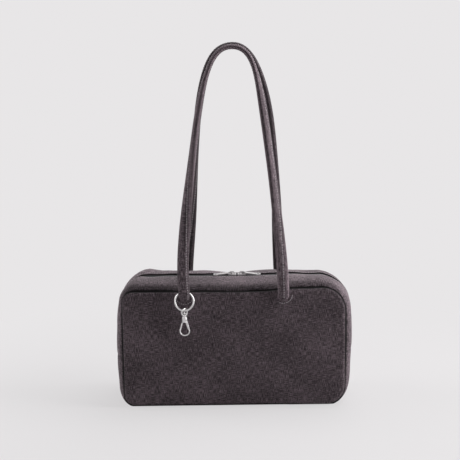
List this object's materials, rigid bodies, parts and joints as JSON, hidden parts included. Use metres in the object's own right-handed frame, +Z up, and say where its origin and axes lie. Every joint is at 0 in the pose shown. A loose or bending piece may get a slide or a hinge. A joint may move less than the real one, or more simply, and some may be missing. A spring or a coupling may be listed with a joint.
{
  "type": "bowler bag",
  "caption": "Small soft denim bowler bag with a two-way zip along its top, long arched rope handles and a swivel clasp on a key ring.",
  "frame": {"origin": "middle of the base, on the floor", "axes": "+Z up, -Y out of the front panel with the clasp, +X to the right seen from the front"},
  "size_m": [0.296, 0.1203, 0.445],
  "materials": {
    "denim": "washed charcoal denim, fine twill with pale flecks",
    "handle_denim": "the same denim, worn paler along its edges",
    "lining": "plain dark cotton",
    "foam": "sheet foam",
    "board": "stiff base sheet",
    "zip_tape": "woven black tape",
    "zip_coil": "black nylon coil",
    "handle_cord": "twisted cotton cord",
    "silver_metal": "polished silver plating, lightly scratched"
  },
  "bodies": {
    "bag": {"front_panel": "denim", "rear_panel": "denim", "bottom_gusset": "denim", "front_left_gusset_end": "denim", "front_right_gusset_end": "denim", "rear_left_gusset_end": "denim", "rear_right_gusset_end": "denim", "front_foam": "foam", "rear_foam": "foam", "base_board": "board", "front_lining": "lining", "rear_lining": "lining", "bottom_lining": "lining", "front_left_end_lining": "lining", "front_right_end_lining": "lining", "rear_left_end_lining": "lining", "rear_right_end_lining": "lining", "slip_pocket": "lining", "left_zip_end": "zip_tape", "right_zip_end": "zip_tape", "front_left_handle_foot": "handle_denim", "front_right_handle_foot": "handle_denim", "rear_left_handle_foot": "handle_denim", "rear_right_handle_foot": "handle_denim", "front_left_patch": "lining", "front_right_patch": "lining", "rear_left_patch": "lining", "rear_right_patch": "lining"},
    "front_flap": {"front_zip_flap": "denim", "front_flap_lining": "lining", "front_zip_tape": "zip_tape", "front_zip_teeth": "zip_coil"},
    "rear_flap": {"rear_zip_flap": "denim", "rear_flap_lining": "lining", "rear_zip_tape": "zip_tape", "rear_zip_teeth": "zip_coil"},
    "left_slider": {"left_slider_body": "silver_metal", "left_slider_bail": "silver_metal"},
    "left_pull": {"left_slider_pull": "silver_metal"},
    "right_slider": {"right_slider_body": "silver_metal", "right_slider_bail": "silver_metal"},
    "right_pull": {"right_slider_pull": "silver_metal"},
    "front_handle": {"front_handle_cover": "handle_denim", "front_handle_core": "handle_cord"},
    "rear_handle": {"rear_handle_cover": "handle_denim", "rear_handle_core": "handle_cord"},
    "ring": {"key_ring": "silver_metal"},
    "eye": {"swivel_eye": "silver_metal"},
    "hook": {"hook_body": "silver_metal", "swivel_post": "silver_metal", "gate_pin": "silver_metal", "gate_spring": "silver_metal"},
    "gate": {"hook_gate": "silver_metal"}
  },
  "joints": [
    {"name": "front_flap_open", "type": "hinge", "parent": "bag", "child": "front_flap", "pos_m": [0, -0.05, 0.148], "axis": [1, 0, 0], "range_deg": [0, 55], "deforming": ["front_zip_tape", "front_zip_teeth"]},
    {"name": "rear_flap_open", "type": "hinge", "parent": "bag", "child": "rear_flap", "pos_m": [0, 0.05, 0.148], "axis": [-1, 0, 0], "range_deg": [0, 55], "deforming": ["rear_zip_tape", "rear_zip_teeth"]},
    {"name": "left_slider_slide", "type": "slide", "parent": "bag", "child": "left_slider", "axis": [-1, 0, 0], "range_m": [0, 0.0926]},
    {"name": "right_slider_slide", "type": "slide", "parent": "bag", "child": "right_slider", "axis": [1, 0, 0], "range_m": [0, 0.0926]},
    {"name": "left_pull_flip", "type": "hinge", "parent": "left_slider", "child": "left_pull", "pos_m": [-0.0044, 0, 0.1588], "axis": [0, 1, 0], "range_deg": [0, 100]},
    {"name": "right_pull_flip", "type": "hinge", "parent": "right_slider", "child": "right_pull", "pos_m": [0.0104, 0, 0.1588], "axis": [0, -1, 0], "range_deg": [0, 100]},
    {"name": "front_handle_fold", "type": "hinge", "parent": "bag", "child": "front_handle", "pos_m": [0, -0.0593, 0.1495], "axis": [1, 0, 0], "range_deg": [0, 100]},
    {"name": "rear_handle_fold", "type": "hinge", "parent": "bag", "child": "rear_handle", "pos_m": [0, 0.0593, 0.1495], "axis": [-1, 0, 0], "range_deg": [0, 100]},
    {"name": "ring_swing", "type": "hinge", "parent": "bag", "child": "ring", "pos_m": [-0.0614, -0.05155, 0.1467], "axis": [-1, 0, 0], "range_deg": [0, 40]},
    {"name": "eye_swing", "type": "hinge", "parent": "ring", "child": "eye", "pos_m": [-0.0614, -0.05699, 0.12487], "axis": [-1, 0, 0], "range_deg": [0, 35]},
    {"name": "hook_swivel", "type": "hinge", "parent": "eye", "child": "hook", "pos_m": [-0.0614, -0.05699, 0.117], "axis": [0, 0, 1], "continuous": true},
    {"name": "gate_open", "type": "hinge", "parent": "hook", "child": "gate", "pos_m": [-0.0597, -0.05699, 0.11257], "axis": [0, 1, 0], "range_deg": [0, 24], "stiffness_Nm_per_rad": 0.02}
  ],
  "couplings": [
    {"joint": "rear_flap_open", "follows": "front_flap_open", "ratio": 1},
    {"joint": "left_slider_slide", "follows": "front_flap_open", "m_per_rad": 0.0964},
    {"joint": "right_slider_slide", "follows": "front_flap_open", "m_per_rad": 0.0964}
  ]
}
